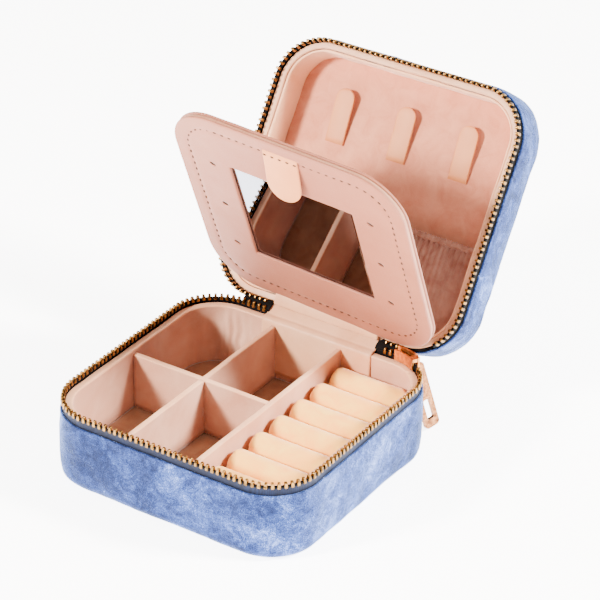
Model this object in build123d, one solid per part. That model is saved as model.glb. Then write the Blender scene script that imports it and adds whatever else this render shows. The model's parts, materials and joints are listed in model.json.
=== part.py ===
from build123d import *
import math
import os

# Travel jewelry case, open. Millimetres. The origin is the centre of the underside of the base.
# +X is right, +Y is back (the hinge side), +Z is up.

# ---- driving dimensions -------------------------------------------------------------------------
case_width = 100.0
case_depth = 96.5
corner_radius = 18.4
seam_height = 29.7          # middle plane of the zip, and height of the lid's hinge line
lid_thickness = 21.1        # from the seam plane to the lid's outer face
lid_open_angle = 122.9

edge_gap = 4.2              # seam plane to the edge of each velvet cover
lip_gap = 2.4               # seam plane to the rolled lip of each liner
hinge_y = case_depth / 2 + 0.35

cover_thickness = 0.8
cover_edge_radius = 4.0     # rounded edge round the case's large faces
board_inset = 0.85
board_thickness = 1.15
board_height = 22.0
tape_inset = 0.85
tape_thickness = 0.4
lip_inset = 1.65
liner_inset = 2.05
wall_inset = 4.4            # inner face of the base's padded wall

tooth_pitch = 2.16
tooth_length = 1.0          # along the chain
tooth_width = 1.2           # across the tape
tooth_reach = 0.5           # how far a tooth passes the seam plane
tooth_root = 1.68           # tooth's foot, from the seam plane
chain_inset = 1.05

strip_left = -21.5          # ends of the hinge strip
strip_right = 23.5

floor_level = 4.8
divider_top = 25.9
divider_thickness = 2.0
divider_long_x = -16.7
divider_cross_y = 0.6
ring_wall_x = 10.7

roll_count = 7
roll_left = 13.2
roll_right = 44.6
roll_top = 22.6
roll_gap = 0.35

frame_inset = 4.1           # lid's inner frame
frame_thickness = 0.9
panel_depth = 15.0          # seam plane to the face of the lid's panel
pocket_mouth_y = 8.6
pocket_thickness = 0.8
hook_pitch = 25.5
hook_width = 7.6
hook_length = 20.0
hook_root_y = -13.4
hook_lean = 7.0

flap_width = 93.0
flap_length = 88.5          # from the fold to the free edge
flap_tail = 0.5             # behind the fold
flap_radius = 18.2
flap_centre_x = 1.0
flap_middle = 0.2           # middle plane of the shut flap, above the seam plane
flap_sheet = 0.8
flap_core = 1.4
flap_face = flap_core / 2 + flap_sheet   # middle plane to either face
flap_fold_y = hinge_y - 5.1
flap_open_angle = 56.6
flap_fold_direction = (1.0, 0.028, 0.04)
mirror_width = 49.4
mirror_length = 45.4
mirror_start = 21.2
mirror_hidden = 1.8         # how far the glass runs under the front sheet
slit_offset = 32.0
slit_rows = (23.6, 44.2, 65.0)
slit_length = 2.4
slit_width = 0.9
slit_slant = 20.0
stitch_inset = 5.6
stitch_pitch = 3.0
stitch_length = 1.5
stitch_width = 0.5
stitch_height = 0.2
tab_width = 14.0
tab_fold = 82.0
tab_length = 17.4
tab_lean = 9.0
tab_thickness = 0.9
tab_skin = 0.8              # tab's root, where it is sewn to the flap

slider_middle_angle = 17.0  # round the back right corner, from the end of the straight
slider_half_angle = 16.6
slider_half_width = 2.1
slider_sweep = 5.0          # how far the slider can travel round the corner, in degrees
tooth_relief = 6.5          # angle past the slider that is kept free of teeth
bail_reach = -1.5           # pull's pivot: along the slider from its middle,
bail_height = -2.2          # from the seam plane,
bail_off = 2.4              # and off the slider's back
bail_half = 2.0             # half the length of the bar that the pull hangs on
bail_wire = 0.5             # radius of that bar
pull_width = 6.2
pull_length = 27.5
pull_thickness = 1.3
pull_eye = 1.1              # radius of the hole round the bar
pull_neck = 1.9
pull_tilt = 13.0            # the hanging pull's tilt along the slider
pull_lean = 10.0            # and its lean off the case

clearance = 0.05
corner_x = case_width / 2 - corner_radius
corner_y = case_depth / 2 - corner_radius
chain_radius = corner_radius - chain_inset
bail_back = chain_radius + 1.6
back_wall = case_depth / 2
os.makedirs("parts", exist_ok=True)


# ---- helpers ------------------------------------------------------------------------------------
def block(x0, x1, y0, y1, z0, z1):
    """Box between two corners."""
    return Pos(x0, y0, z0) * Box(x1 - x0, y1 - y0, z1 - z0, align=(Align.MIN,) * 3)


def slab(inset, low, high):
    """Rounded block whose sides stand `inset` inside the case's outer wall."""
    outline = RectangleRounded(case_width - 2 * inset, case_depth - 2 * inset, corner_radius - inset)
    return Pos(0, 0, low) * extrude(outline, high - low)


def ring(outer_inset, inner_inset, low, high):
    """Rounded ring between two insets."""
    return slab(outer_inset, low, high) - slab(inner_inset, low - 1, high + 1)


def tray(inset, thickness, low, high, edge_radius):
    """Open tray with a rounded edge round its bottom."""
    outside = slab(inset, low, high)
    outside = fillet(outside.edges().group_by(Axis.Z)[0], edge_radius)
    inside = slab(inset + thickness, low + thickness, high + 1)
    inside = fillet(inside.edges().group_by(Axis.Z)[0], edge_radius - thickness)
    return outside - inside


def lid_shut(shape):
    """Turn a piece drawn as a tray into the lid's shut place, mirrored in the seam plane."""
    return Pos(0, 0, 2 * seam_height) * mirror(shape, Plane.XY)


hinge_line = Axis((0, hinge_y, seam_height), (1, 0, 0))
fold_point = (0, flap_fold_y, seam_height + flap_middle)
fold_line = Axis(fold_point, flap_fold_direction)


def lid_open(shape):
    """Swing a shut lid piece to its open place."""
    return shape.rotate(hinge_line, -lid_open_angle)


def flap_open(shape):
    """Swing a shut flap piece to its open place, with the lid."""
    return lid_open(shape.rotate(fold_line, flap_open_angle))


def write(name, shape):
    """Write one node."""
    export_step(shape, f"parts/{name}.step")


# ---- outer shells, the same way round for base and lid ------------------------------------------
def cover(low):
    """Velvet cover: a soft tray with a turned edge at the seam."""
    shell = tray(0, cover_thickness, low, seam_height - edge_gap, cover_edge_radius)
    rim = shell.edges().group_by(Axis.Z)[-1]
    return fillet(rim, 0.35)


def board(low):
    """Stiff card tray inside the cover."""
    return tray(board_inset, board_thickness, low + board_inset, board_height,
                cover_edge_radius - board_inset)


def tape():
    """Zip tape standing out of the cover, left out behind the hinge strip."""
    band = ring(tape_inset, tape_inset + tape_thickness, board_height + 0.1, seam_height - tooth_root - 0.02)
    behind_strip = block(strip_left - 0.2, strip_right + 0.2, 0, case_depth, 0, 2 * seam_height)
    return band - behind_strip


def chain_path():
    """Middle line of the teeth, from the strip's left end round the front to its right end."""
    x = case_width / 2 - chain_inset
    y = case_depth / 2 - chain_inset
    corners = [(strip_left - 0.9, y), (-x, y), (-x, -y), (x, -y), (x, y), (strip_right + 0.9, y)]
    return FilletPolyline(*corners, radius=chain_radius)


def under_slider(point, margin):
    """True for a place on the chain that the slider covers, or passes over, at the back right corner."""
    if point.Y < corner_y or point.X < corner_x - 0.6:
        return False
    angle = math.degrees(math.atan2(point.X - corner_x, point.Y - corner_y))
    return angle < slider_middle_angle + slider_half_angle + margin


def teeth(phase):
    """One row of teeth. The two rows interlock, half a pitch apart."""
    path = chain_path()
    tooth = Box(tooth_length, tooth_width, tooth_root + tooth_reach)
    middle = seam_height - (tooth_root - tooth_reach) / 2
    row = []
    for index in range(int(path.length / tooth_pitch)):
        place = (index + phase) * tooth_pitch / path.length
        point = path @ place
        if not under_slider(point, tooth_relief):
            heading = path % place
            angle = math.degrees(math.atan2(heading.Y, heading.X))
            row.append(Pos(point.X, point.Y, middle) * Rot(0, 0, angle) * tooth)
    return Compound(children=row)


def hinge_plate(inset, thickness, low):
    """Half of a hinge strip, standing on the back wall up to the hinge line."""
    high = seam_height - 0.5
    y = back_wall - inset
    return block(strip_left, strip_right, y - thickness, y, low, high)


# ---- base ---------------------------------------------------------------------------------------
def base_liner():
    """Padded wall with a rolled lip."""
    lip_low = seam_height - lip_gap - 1.7
    wall = ring(liner_inset, wall_inset, floor_level - 0.7, lip_low + 0.1)
    lip = ring(lip_inset, wall_inset, lip_low, seam_height - lip_gap)
    lip = fillet(lip.edges().group_by(Axis.Z)[-1], 0.8)
    return wall + lip


def base_floor():
    """Padded floor inside the wall."""
    return slab(wall_inset + clearance, board_inset + board_thickness + clearance, floor_level)


def upright(x0, x1, y0, y1):
    """Card wall standing on the floor."""
    return block(x0, x1, y0, y1, floor_level + clearance, divider_top)


def dividers():
    """Long and cross dividers halved into each other, and the wall of the ring section."""
    half = divider_thickness / 2
    y_end = case_depth / 2 - wall_inset - clearance
    x_end = -(case_width / 2 - wall_inset - clearance)
    middle = (floor_level + divider_top) / 2
    long_piece = upright(divider_long_x - half, divider_long_x + half, -y_end, y_end)
    cross_piece = upright(x_end, ring_wall_x - half - clearance, divider_cross_y - half, divider_cross_y + half)
    slot = half + clearance
    across = block(divider_long_x - 2 * half, divider_long_x + 2 * half,
                   divider_cross_y - slot, divider_cross_y + slot, middle, divider_top + 1)
    along = block(divider_long_x - slot, divider_long_x + slot,
                  divider_cross_y - 2 * half, divider_cross_y + 2 * half, 0, middle + clearance)
    ring_piece = upright(ring_wall_x - half, ring_wall_x + half, -y_end, y_end)
    return {"divider_long": long_piece - across, "divider_cross": cross_piece - along, "ring_wall": ring_piece}


def ring_bed():
    """Foam bed under the ring rolls."""
    left = ring_wall_x + divider_thickness / 2 + clearance
    bed = slab(wall_inset + clearance, floor_level + clearance, floor_level + 2)
    return bed & block(left, case_width, -case_depth, case_depth, 0, case_width)


def ring_rolls():
    """Velour rolls, side by side, with round tops; the end ones follow the corners."""
    span = case_depth - 2 * wall_inset - 2 * roll_gap
    pitch = span / roll_count
    radius = (pitch - roll_gap) / 2
    bottom = floor_level + 2 + clearance
    room = slab(wall_inset + roll_gap, 0, seam_height)
    length = roll_right - roll_left
    middle_x = (roll_left + roll_right) / 2
    rolls = []
    for index in range(roll_count):
        y = span / 2 - (index + 0.5) * pitch
        top = Pos(middle_x, y, roll_top - radius) * Rot(0, 90, 0) * Cylinder(radius, length)
        body = block(roll_left, roll_right, y - radius, y + radius, bottom, roll_top - radius)
        rolls.append((top + body) & room)
    return rolls


# ---- slider and pull ----------------------------------------------------------------------------
def corner_turn(angle):
    """Place a shape drawn behind the corner's centre at an angle round the back right corner."""
    return Pos(corner_x, corner_y, seam_height) * Rot(0, 0, -angle)


def curved_plate(inner, outer, low, high, start, end):
    """Piece of a ring round the corner's centre, between two angles."""
    whole = Cylinder(outer, high - low) - Cylinder(inner, high - low + 1)
    reach = 2 * outer
    wedge = Polyline((0, 0), (reach * math.sin(math.radians(start)), reach * math.cos(math.radians(start))),
                     (reach * math.sin(math.radians(end)), reach * math.cos(math.radians(end))), close=True)
    wedge = Pos(0, 0, low - 1) * extrude(make_face(wedge), high - low + 2)
    return (Pos(0, 0, (low + high) / 2) * whole) & wedge


def slider_body():
    """Two plates either side of the chain, joined by the post at the leading end."""
    start = slider_middle_angle - slider_half_angle
    end = slider_middle_angle + slider_half_angle
    throat = 0.85           # from the chain's middle to either plate
    sheet = 0.7
    brim = slider_half_width + 0.4
    inner = curved_plate(chain_radius - throat - sheet + clearance, chain_radius - throat,
                         -slider_half_width, slider_half_width, start, end)
    outer = curved_plate(chain_radius + throat, chain_radius + throat + sheet, -brim, brim, start, end)
    post = curved_plate(chain_radius - throat - clearance, chain_radius + throat + clearance,
                        0.75, 2.0, end - 9, end - 1)
    return Pos(corner_x, corner_y, seam_height) * (inner + outer + post)


def slider_crown():
    """Bar on two posts, standing off the slider's back, that the pull hangs on."""
    bar_y = bail_back + bail_off
    bar = Pos(bail_reach, bar_y, bail_height) * Rot(0, 90, 0) * Cylinder(bail_wire, 2 * bail_half)
    low, high = bail_height - bail_wire, bail_height + bail_wire
    posts = []
    for x in (bail_reach - bail_half, bail_reach + bail_half):
        posts.append(block(x - bail_wire, x + bail_wire, bail_back, bar_y + bail_wire, low, high))
    return corner_turn(slider_middle_angle) * (bar + posts[0] + posts[1])


def pull_tab():
    """Flat metal pull with a window near its free end, standing edge-on to the case."""
    shoulder = 2.6
    plate_length = pull_length - shoulder
    window_middle = -pull_length + 7.0
    plate = Pos(0, -shoulder - plate_length / 2) * RectangleRounded(pull_width, plate_length, 1.4)
    neck = Circle(pull_neck) + Pos(0, -shoulder / 2 - 0.4) * Rectangle(2.4, shoulder + 0.8)
    window = Pos(0, window_middle) * RectangleRounded(2.8, 7.6, 0.6)
    flat = plate + neck - window - Circle(pull_eye)
    solid = Rot(0, 0, 90) * Rot(90, 0, 0) * extrude(flat, pull_thickness / 2, both=True)
    hung = Rot(pull_lean, 0, 0) * Rot(0, -pull_tilt, 0) * solid
    hung = Pos(bail_reach, bail_back + bail_off, bail_height) * hung
    return corner_turn(slider_middle_angle) * hung


# ---- lid ----------------------------------------------------------------------------------------
def lid_liner():
    """Thin wall with a rolled lip."""
    lip_top = seam_height - lip_gap
    wall = ring(liner_inset, 3.3, seam_height - lid_thickness + 4.2, lip_top - 1.6)
    lip = ring(lip_inset, frame_inset - 0.2, lip_top - 1.7, lip_top)
    lip = fillet(lip.edges().group_by(Axis.Z)[-1], 0.7)
    return wall + lip


def lid_frame():
    """Inner frame whose edge stands just below the lip."""
    frame = ring(frame_inset, frame_inset + frame_thickness, seam_height - panel_depth, seam_height - lip_gap - 0.9)
    return fillet(frame.edges().group_by(Axis.Z)[-1], 0.3)


def lid_panel():
    """Padded panel that carries the hooks and the pocket."""
    back = seam_height - lid_thickness + board_inset + board_thickness + clearance
    panel = slab(frame_inset + clearance, back, seam_height - panel_depth - clearance)
    return fillet(panel.edges().group_by(Axis.Z)[0], 0.8)


def pocket_profile(points):
    """Piece of the pocket from its profile in the shut lid: distance y and depth below the seam plane."""
    outline = Polyline(*[(y, -depth) for y, depth in points], close=True)
    face = make_face(Plane.YZ * outline)
    run = case_width - 2 * frame_inset
    piece = extrude(face, run / 2, both=True)
    room = slab(frame_inset + frame_thickness + 0.15, -seam_height, seam_height)
    return Pos(0, 0, seam_height) * piece & room


def pocket_pouch():
    """Pocket front and bottom, open towards the hooks."""
    foot = back_wall - frame_inset - frame_thickness - 0.2
    crown = 9.4
    low = panel_depth - clearance
    sheet = pocket_thickness
    return pocket_profile([(foot, low), (foot, crown + 1), (foot - 3, crown), (pocket_mouth_y, crown + 0.6),
                           (pocket_mouth_y, crown + 0.6 + sheet), (foot - 3 + 0.2, crown + sheet),
                           (foot - sheet, crown + 1.6), (foot - sheet, low)])


def pocket_elastic():
    """Elastic hem along the pocket's mouth."""
    front = pocket_mouth_y - 1.6
    return pocket_profile([(front, 9.7), (pocket_mouth_y - 0.02, 9.7), (pocket_mouth_y - 0.02, 11.3), (front, 11.3)])


def hook_strap(x):
    """Leather strap with a square root and a round end, leaning off the panel."""
    shape = Pos(0, -hook_length / 2) * Rectangle(hook_width, hook_length)
    rounded = fillet(shape.vertices().group_by(Axis.Y)[0], hook_width / 2 - 0.05)
    strap = extrude(rounded, 0.9)
    lift = seam_height - panel_depth + 0.15
    strap = Pos(x, hook_root_y, lift) * strap
    root = Axis((x, hook_root_y, lift + 0.45), (1, 0, 0))
    return strap.rotate(root, -hook_lean)


def flap_strip():
    """Soft strip under the lid's lip that the flap folds on."""
    return block(strip_left, strip_right, hinge_y - 3.4, hinge_y - 2.1, seam_height - 2.3, seam_height - 1.7)


# ---- mirror flap, drawn shut with its mirror side down ------------------------------------------
def flap_sheet_outline(inset):
    """Rounded outline of the flap in plan."""
    length = flap_length + flap_tail
    middle_y = flap_fold_y + flap_tail - length / 2
    outline = RectangleRounded(flap_width - 2 * inset, length - 2 * inset, flap_radius - inset)
    return Pos(flap_centre_x, middle_y) * outline


def flap_rectangle(width, length, start):
    """Rectangle on the flap that begins `start` from the fold."""
    return Pos(flap_centre_x, flap_fold_y - start - length / 2) * Rectangle(width, length)


def flap_layer(outline, low, thickness):
    """Layer of the flap, `low` being measured from its middle plane."""
    return Pos(0, 0, seam_height + flap_middle + low) * extrude(outline, thickness)


def slits():
    """Earring slits, three each side of the mirror."""
    slit = Rotation(0, 0, slit_slant) * RectangleRounded(slit_length, slit_width, slit_width / 2 - 0.05)
    places = []
    for side in (-1, 1):
        for row in slit_rows:
            places.append(Pos(flap_centre_x - 0.2 + side * slit_offset, flap_fold_y - row) * slit)
    return places


def flap_sheet_cut(outline):
    """The outline with the slits cut out."""
    for slit in slits():
        outline = outline - slit
    return outline


def flap_pieces():
    """Front sheet, board, mirror and back sheet."""
    half = flap_core / 2
    window = flap_rectangle(mirror_width, mirror_length, mirror_start)
    glass_width = mirror_width + 2 * mirror_hidden
    glass_length = mirror_length + 2 * mirror_hidden
    glass = flap_rectangle(glass_width, glass_length, mirror_start - mirror_hidden)
    pocket = flap_rectangle(glass_width + 0.2, glass_length + 0.2, mirror_start - mirror_hidden - 0.1)
    front = flap_layer(flap_sheet_cut(flap_sheet_outline(0)) - window, -flap_face, flap_sheet)
    back = flap_layer(flap_sheet_cut(flap_sheet_outline(0)), half, flap_sheet)
    core = flap_layer(flap_sheet_cut(flap_sheet_outline(0.5)) - pocket, -half + 0.02, flap_core - 0.04)
    mirror_glass = flap_layer(glass, -half + 0.02, 1.2)
    return {"flap_front": front, "flap_back": back, "flap_board": core, "mirror": mirror_glass}


def flap_stitching():
    """Thread round the flap, one stitch at a time."""
    path = flap_sheet_outline(stitch_inset).wire()
    count = round(path.length / stitch_pitch)
    stitch = Box(stitch_length, stitch_width, stitch_height)
    middle = seam_height + flap_middle - flap_face - stitch_height / 2
    thread = []
    for index in range(count):
        place = index / count
        point = path @ place
        heading = path % place
        under_tab = abs(point.X - flap_centre_x) < tab_width / 2 + 1.2 and point.Y < 0
        if not under_tab:
            angle = math.degrees(math.atan2(heading.Y, heading.X))
            thread.append(Pos(point.X, point.Y, middle) * Rot(0, 0, angle) * stitch)
    return Compound(children=thread)


def tab_outline(start, end):
    """Strip of the closing tab, between two distances from the fold."""
    return Pos(flap_centre_x, flap_fold_y - (start + end) / 2) * Rectangle(tab_width, end - start)


def tab_root():
    """Sewn end of the closing tab, wrapped over the flap's free edge."""
    end = flap_length + tab_skin
    front = flap_layer(tab_outline(tab_fold + 0.1, end), -flap_face - tab_skin, tab_skin)
    edge = flap_layer(tab_outline(flap_length + clearance, end), -flap_face - 0.1, 2 * flap_face + 0.2)
    back = flap_layer(tab_outline(flap_length - 5, end), flap_face, 0.5)
    return front + edge + back


def tab_axis():
    """Line that the free end of the tab folds on, in the tab's outer face."""
    z = seam_height + flap_middle - flap_face - tab_thickness - clearance
    return Axis((flap_centre_x, flap_fold_y - tab_fold, z), (1, 0, 0))


def closure_tab():
    """Free end of the closing tab, hanging a little off the mirror side."""
    outline = tab_outline(tab_fold - tab_length, tab_fold)
    outline = fillet(outline.vertices().group_by(Axis.Y)[-1], tab_width / 2 - 0.1)
    flat = flap_layer(outline, -flap_face - tab_thickness - clearance, tab_thickness)
    return flat.rotate(tab_axis(), -tab_lean)


# ---- build --------------------------------------------------------------------------------------
def build_base():
    """Everything that stands on the base."""
    write("base_cover", cover(0))
    write("base_board", board(0))
    write("base_tape", tape())
    write("base_teeth", teeth(0.25))
    write("base_liner", base_liner())
    write("base_floor", base_floor())
    for name, piece in dividers().items():
        write(name, piece)
    write("ring_bed", ring_bed())
    for index, roll in enumerate(ring_rolls(), start=1):
        write(f"ring_roll_{index}", roll)
    write("hinge_outer_base", hinge_plate(0, cover_thickness, seam_height - edge_gap + clearance))
    write("hinge_inner_base", hinge_plate(0.9, 0.7, board_height + 0.1))


def build_slider():
    """Zip slider and its pull."""
    write("slider_body", slider_body())
    write("slider_crown", slider_crown())
    write("pull_tab", pull_tab())


def build_lid():
    """Everything that swings with the lid."""
    low = seam_height - lid_thickness
    relief_end = slider_middle_angle + slider_half_angle + slider_sweep + 2
    zip_relief = curved_plate(chain_radius - 1, chain_radius + 1, -2.9, 2.9, -2, relief_end)
    zip_relief = Pos(corner_x, corner_y, seam_height) * zip_relief
    pieces = {
        "lid_cover": cover(low),
        "lid_board": board(low),
        "lid_tape": tape() - zip_relief,
        "lid_teeth": teeth(0.75),
        "lid_liner": lid_liner(),
        "lid_frame": lid_frame(),
        "lid_panel": lid_panel(),
        "pocket_pouch": pocket_pouch(),
        "pocket_elastic": pocket_elastic(),
        "hinge_outer_lid": hinge_plate(0, cover_thickness, seam_height - edge_gap + clearance),
        "hinge_inner_lid": hinge_plate(0.9, 0.7, board_height + 0.1),
        "flap_strip": flap_strip(),
    }
    for index in range(3):
        pieces[f"hook_strap_{index + 1}"] = hook_strap((index - 1) * hook_pitch)
    for name, piece in pieces.items():
        write(name, lid_open(lid_shut(piece)))


def build_flap():
    """Everything that swings with the mirror flap."""
    pieces = flap_pieces()
    pieces["flap_stitching"] = flap_stitching()
    pieces["tab_root"] = tab_root()
    pieces["closure_tab"] = closure_tab()
    for name, piece in pieces.items():
        write(name, flap_open(piece))


build_base()
build_slider()
build_lid()
build_flap()
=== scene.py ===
import json
import math

import bmesh
import bpy
import numpy as np
from mathutils import Matrix, Vector, noise


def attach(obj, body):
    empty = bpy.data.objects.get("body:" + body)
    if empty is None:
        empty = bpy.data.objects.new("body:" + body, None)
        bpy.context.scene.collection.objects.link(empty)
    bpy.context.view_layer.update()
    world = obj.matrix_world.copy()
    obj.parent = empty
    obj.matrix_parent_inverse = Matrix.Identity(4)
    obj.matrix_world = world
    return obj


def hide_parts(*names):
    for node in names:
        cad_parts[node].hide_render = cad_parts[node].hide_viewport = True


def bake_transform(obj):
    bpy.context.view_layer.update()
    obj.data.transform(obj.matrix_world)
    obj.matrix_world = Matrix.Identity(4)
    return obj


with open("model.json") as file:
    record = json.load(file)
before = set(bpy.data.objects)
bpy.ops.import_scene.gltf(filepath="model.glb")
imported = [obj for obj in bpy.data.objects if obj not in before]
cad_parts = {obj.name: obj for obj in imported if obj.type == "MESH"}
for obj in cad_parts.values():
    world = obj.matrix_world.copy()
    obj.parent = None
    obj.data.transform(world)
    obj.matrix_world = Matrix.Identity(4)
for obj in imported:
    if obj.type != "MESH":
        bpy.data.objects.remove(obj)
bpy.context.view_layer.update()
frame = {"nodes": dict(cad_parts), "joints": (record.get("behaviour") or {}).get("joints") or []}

MM = 0.001

# The case's own dimensions, in millimetres, as in part.py.
WIDTH, DEPTH, CORNER = 100.0, 96.5, 18.4
SEAM = 29.7                 # zip's middle plane, above the base's underside
LID_THICK = 21.1
EDGE_GAP, LIP_GAP = 4.2, 2.4
COVER = 0.8
EDGE_RADIUS = 4.0
LIP_INSET, WALL_INSET = 1.65, 4.4
HINGE_Y = DEPTH / 2 + 0.35
TAPE_INSET = 0.85
CHAIN_INSET = 1.05
PITCH = 2.16
STRIP_LEFT, STRIP_RIGHT = -21.5, 23.5
FLOOR = 4.8
DIVIDER_TOP, DIVIDER = 25.9, 2.0
LONG_X, CROSS_Y, RING_X = -16.7, 0.6, 10.7
FRAME_INSET, FRAME_THICK = 4.1, 0.9
PANEL_DEPTH = 15.0
POCKET_Y = 8.6
SLIDER_ANGLE, SLIDER_HALF = 17.0, 16.6
RELIEF_END = SLIDER_ANGLE + SLIDER_HALF + 7.0
FLAP_W, FLAP_L, FLAP_TAIL, FLAP_R, FLAP_X = 93.0, 88.5, 0.5, 18.2, 1.0
FLAP_Z = SEAM + 0.2
FLAP_SHEET, FLAP_CORE = 0.8, 1.4
FLAP_Y = HINGE_Y - 5.1
MIRROR_W, MIRROR_L, MIRROR_START = 49.4, 45.4, 21.2
TAB_W, TAB_FOLD, TAB_L, TAB_LEAN = 14.0, 82.0, 17.4, 9.0
HOOK_W, HOOK_L, HOOK_Y, HOOK_LEAN, HOOK_PITCH = 7.6, 20.0, -13.4, 7.0, 25.5

joints = {j["name"]: j for j in frame["joints"]}


def about(point, axis, degrees):
    """Turn about a line, points in metres."""
    p = Vector(point)
    turn = Matrix.Rotation(math.radians(degrees), 4, Vector(axis))
    return Matrix.Translation(p) @ turn @ Matrix.Translation(-p)


def opened(name):
    """From the joint's lower limit, where the case is shut, to rest."""
    j = joints[name]
    return about(j["pos_m"], j["axis"], -j["range_deg"][0])


BASE = Matrix.Identity(4)
LID_TURN = opened("lid_hinge")
FLAP_TURN = opened("flap_hinge") @ LID_TURN
MIRRORED = Matrix.Translation((0, 0, 2 * SEAM * MM)) @ Matrix.Scale(-1, 4, (0, 0, 1))
LID = LID_TURN @ MIRRORED   # for pieces drawn as a tray with its open side up


# ---- node materials -----------------------------------------------------------------------------
def srgb(text):
    """Linear colour from a hex code."""
    values = [int(text[i:i + 2], 16) / 255 for i in (1, 3, 5)]
    return [v / 12.92 if v <= 0.04045 else ((v + 0.055) / 1.055) ** 2.4 for v in values] + [1]


class Nodes:
    """Short ways to add shader nodes to a new material."""

    def __init__(self, name, **sockets):
        self.material = bpy.data.materials.new(name)
        self.material.use_nodes = True
        self.tree = self.material.node_tree
        self.shader = self.tree.nodes["Principled BSDF"]
        for key, value in sockets.items():
            self.shader.inputs[key.replace("_", " ")].default_value = value
        self.place = self.add("ShaderNodeTexCoord").outputs["Object"]

    def add(self, kind, **settings):
        node = self.tree.nodes.new(kind)
        for key, value in settings.items():
            setattr(node, key, value)
        return node

    def link(self, a, b):
        self.tree.links.new(a, b)

    def noise(self, per_mm, detail=3.0, rough=0.55, distort=0.0, stretch=None):
        """Noise with that many features in a millimetre."""
        node = self.add("ShaderNodeTexNoise")
        node.inputs["Scale"].default_value = per_mm / MM
        node.inputs["Detail"].default_value = detail
        node.inputs["Roughness"].default_value = rough
        node.inputs["Distortion"].default_value = distort
        self.link(self.mapped(stretch), node.inputs["Vector"])
        return node.outputs["Fac"]

    def cells(self, per_mm, feature="F1", stretch=None):
        node = self.add("ShaderNodeTexVoronoi", feature=feature)
        node.inputs["Scale"].default_value = per_mm / MM
        self.link(self.mapped(stretch), node.inputs["Vector"])
        return node.outputs["Distance"]

    def mapped(self, stretch):
        if stretch is None:
            return self.place
        node = self.add("ShaderNodeMapping")
        node.inputs["Scale"].default_value = stretch
        self.link(self.place, node.inputs["Vector"])
        return node.outputs["Vector"]

    def ramp(self, source, stops, spline="LINEAR"):
        """Colour or grey by a value; stops are (place, colour)."""
        node = self.add("ShaderNodeValToRGB")
        ramp = node.color_ramp
        ramp.interpolation = spline
        while len(ramp.elements) < len(stops):
            ramp.elements.new(0.5)
        for element, (at, colour) in zip(ramp.elements, stops):
            element.position = at
            element.color = srgb(colour) if isinstance(colour, str) else [colour] * 3 + [1]
        self.link(source, node.inputs["Fac"])
        return node.outputs["Color"]

    def blend(self, low, high, by, mode="MIX"):
        node = self.add("ShaderNodeMix", data_type="RGBA", blend_type=mode)
        for socket, value in ((0, by), (6, low), (7, high)):
            if isinstance(value, (int, float)):
                node.inputs[socket].default_value = value
            elif isinstance(value, str):
                node.inputs[socket].default_value = srgb(value)
            else:
                self.link(value, node.inputs[socket])
        return node.outputs[2]

    def sum(self, first, second, share):
        node = self.add("ShaderNodeMath", operation="MULTIPLY_ADD")
        self.link(second, node.inputs[0])
        node.inputs[1].default_value = share
        self.link(first, node.inputs[2])
        return node.outputs[0]

    def paint(self, colour):
        self.link(colour, self.shader.inputs["Base Color"])

    def rough(self, source):
        self.link(source, self.shader.inputs["Roughness"])

    def bump(self, source, height_mm, strength=1.0):
        """Bump of that real height."""
        node = self.add("ShaderNodeBump")
        node.inputs["Strength"].default_value = strength
        node.inputs["Distance"].default_value = height_mm * MM
        self.link(source, node.inputs["Height"])
        previous = self.shader.inputs["Normal"]
        if previous.is_linked:
            self.link(previous.links[0].from_socket, node.inputs["Normal"])
        self.link(node.outputs["Normal"], previous)


def velvet():
    """Crushed velvet: the pile lies in patches and fine streaks that catch the light differently."""
    m = Nodes("crushed_velvet", Roughness=0.85, Sheen_Weight=0.8, Sheen_Roughness=0.3)
    m.shader.inputs["Sheen Tint"].default_value = srgb("#A9C6FF")
    m.shader.inputs["Specular IOR Level"].default_value = 0.2
    broad = m.noise(0.035, 3, 0.5, 1.2)
    patch = m.noise(0.16, 5, 0.6, 1.6)
    streak = m.noise(0.95, 6, 0.75, 3.0)
    mixed = m.sum(m.sum(m.sum(streak, patch, 0.5), broad, 0.6), m.noise(3.2, 2), 0.3)
    spread = m.add("ShaderNodeMapRange")
    spread.inputs["From Min"].default_value = 0.98
    spread.inputs["From Max"].default_value = 1.42
    m.link(mixed, spread.inputs["Value"])
    tone = m.ramp(spread.outputs["Result"], [(0.0, VELVET[0]), (0.3, VELVET[1]), (0.55, VELVET[2]),
                                             (0.8, VELVET[3]), (1.0, VELVET[4])])
    m.paint(tone)
    m.rough(m.ramp(spread.outputs["Result"], [(0.2, 0.9), (0.9, 0.6)]))
    m.bump(patch, 0.5, 0.6)
    m.bump(streak, 0.18, 0.7)
    return m.material


VELVET = ("#070F2A", "#10204C", "#1E356E", "#395494", "#7288C6")


def leatherette(name, light, dark, sheen=0.12, rough=0.5, grain=1.0, bump=0.03):
    """Fine-grained leatherette with faint clouding."""
    m = Nodes(name, Roughness=rough, Sheen_Weight=sheen, Sheen_Roughness=0.5)
    m.shader.inputs["Specular IOR Level"].default_value = 0.35
    m.shader.inputs["Subsurface Weight"].default_value = 0.0
    cloud = m.noise(0.06, 3, 0.5, 0.4)
    fine = m.noise(1.6, 3, 0.6)
    m.paint(m.ramp(m.sum(cloud, fine, 0.25), [(0.4, dark), (0.8, light)]))
    m.rough(m.ramp(fine, [(0.3, rough - 0.07), (0.7, rough + 0.1)]))
    m.bump(m.cells(2.6 * grain, "DISTANCE_TO_EDGE"), bump, 0.55)
    m.bump(m.noise(0.35, 3, 0.5), 0.09, 0.35)
    return m.material


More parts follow.
